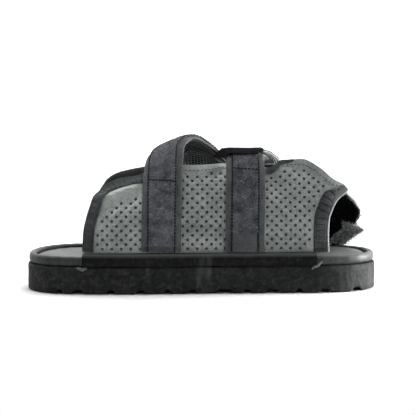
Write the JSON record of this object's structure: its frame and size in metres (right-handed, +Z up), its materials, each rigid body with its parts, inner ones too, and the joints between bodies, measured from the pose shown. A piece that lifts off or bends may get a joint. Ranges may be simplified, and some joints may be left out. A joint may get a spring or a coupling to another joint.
{
  "type": "cast sandal",
  "caption": "Open-toed, open-heeled walking sandal worn over a bandaged or plastered foot: thick grooved sole, padded footbed, two perforated side walls and straps over the instep.",
  "frame": {"origin": "on the ground, under the middle of the sole", "axes": "+Z up, +X from the toe to the heel along the sole, -Y on the medial side that the picture shows"},
  "size_m": [0.2816, 0.115, 0.1237],
  "materials": {
    "outsole_rubber": "matt black foam rubber",
    "footbed_vinyl": "grey padded vinyl",
    "edge_tape": "black folded edge tape",
    "wrap_vinyl": "black vinyl, slightly glossy",
    "upper_vinyl": "perforated grey vinyl with a black lining",
    "binding_tape": "charcoal woven tape",
    "strap_cloth": "grey coated cloth",
    "loop_tape": "dark grey loop pile",
    "hook_tape": "black hook tape on a grey strap"
  },
  "bodies": {
    "root": {"outsole": "outsole_rubber", "insole": "footbed_vinyl", "insole_binding": "edge_tape", "side_wrap_medial": "wrap_vinyl", "side_wrap_lateral": "wrap_vinyl", "upper_medial": "upper_vinyl", "upper_lateral": "upper_vinyl", "front_binding_medial": "binding_tape", "front_binding_lateral": "binding_tape", "rear_binding_medial": "binding_tape", "rear_binding_lateral": "binding_tape", "front_strap": "strap_cloth", "front_strap_tape": "loop_tape", "rear_strap": "strap_cloth", "rear_strap_tape": "loop_tape", "rear_strap_flap": "hook_tape"}
  },
  "joints": []
}
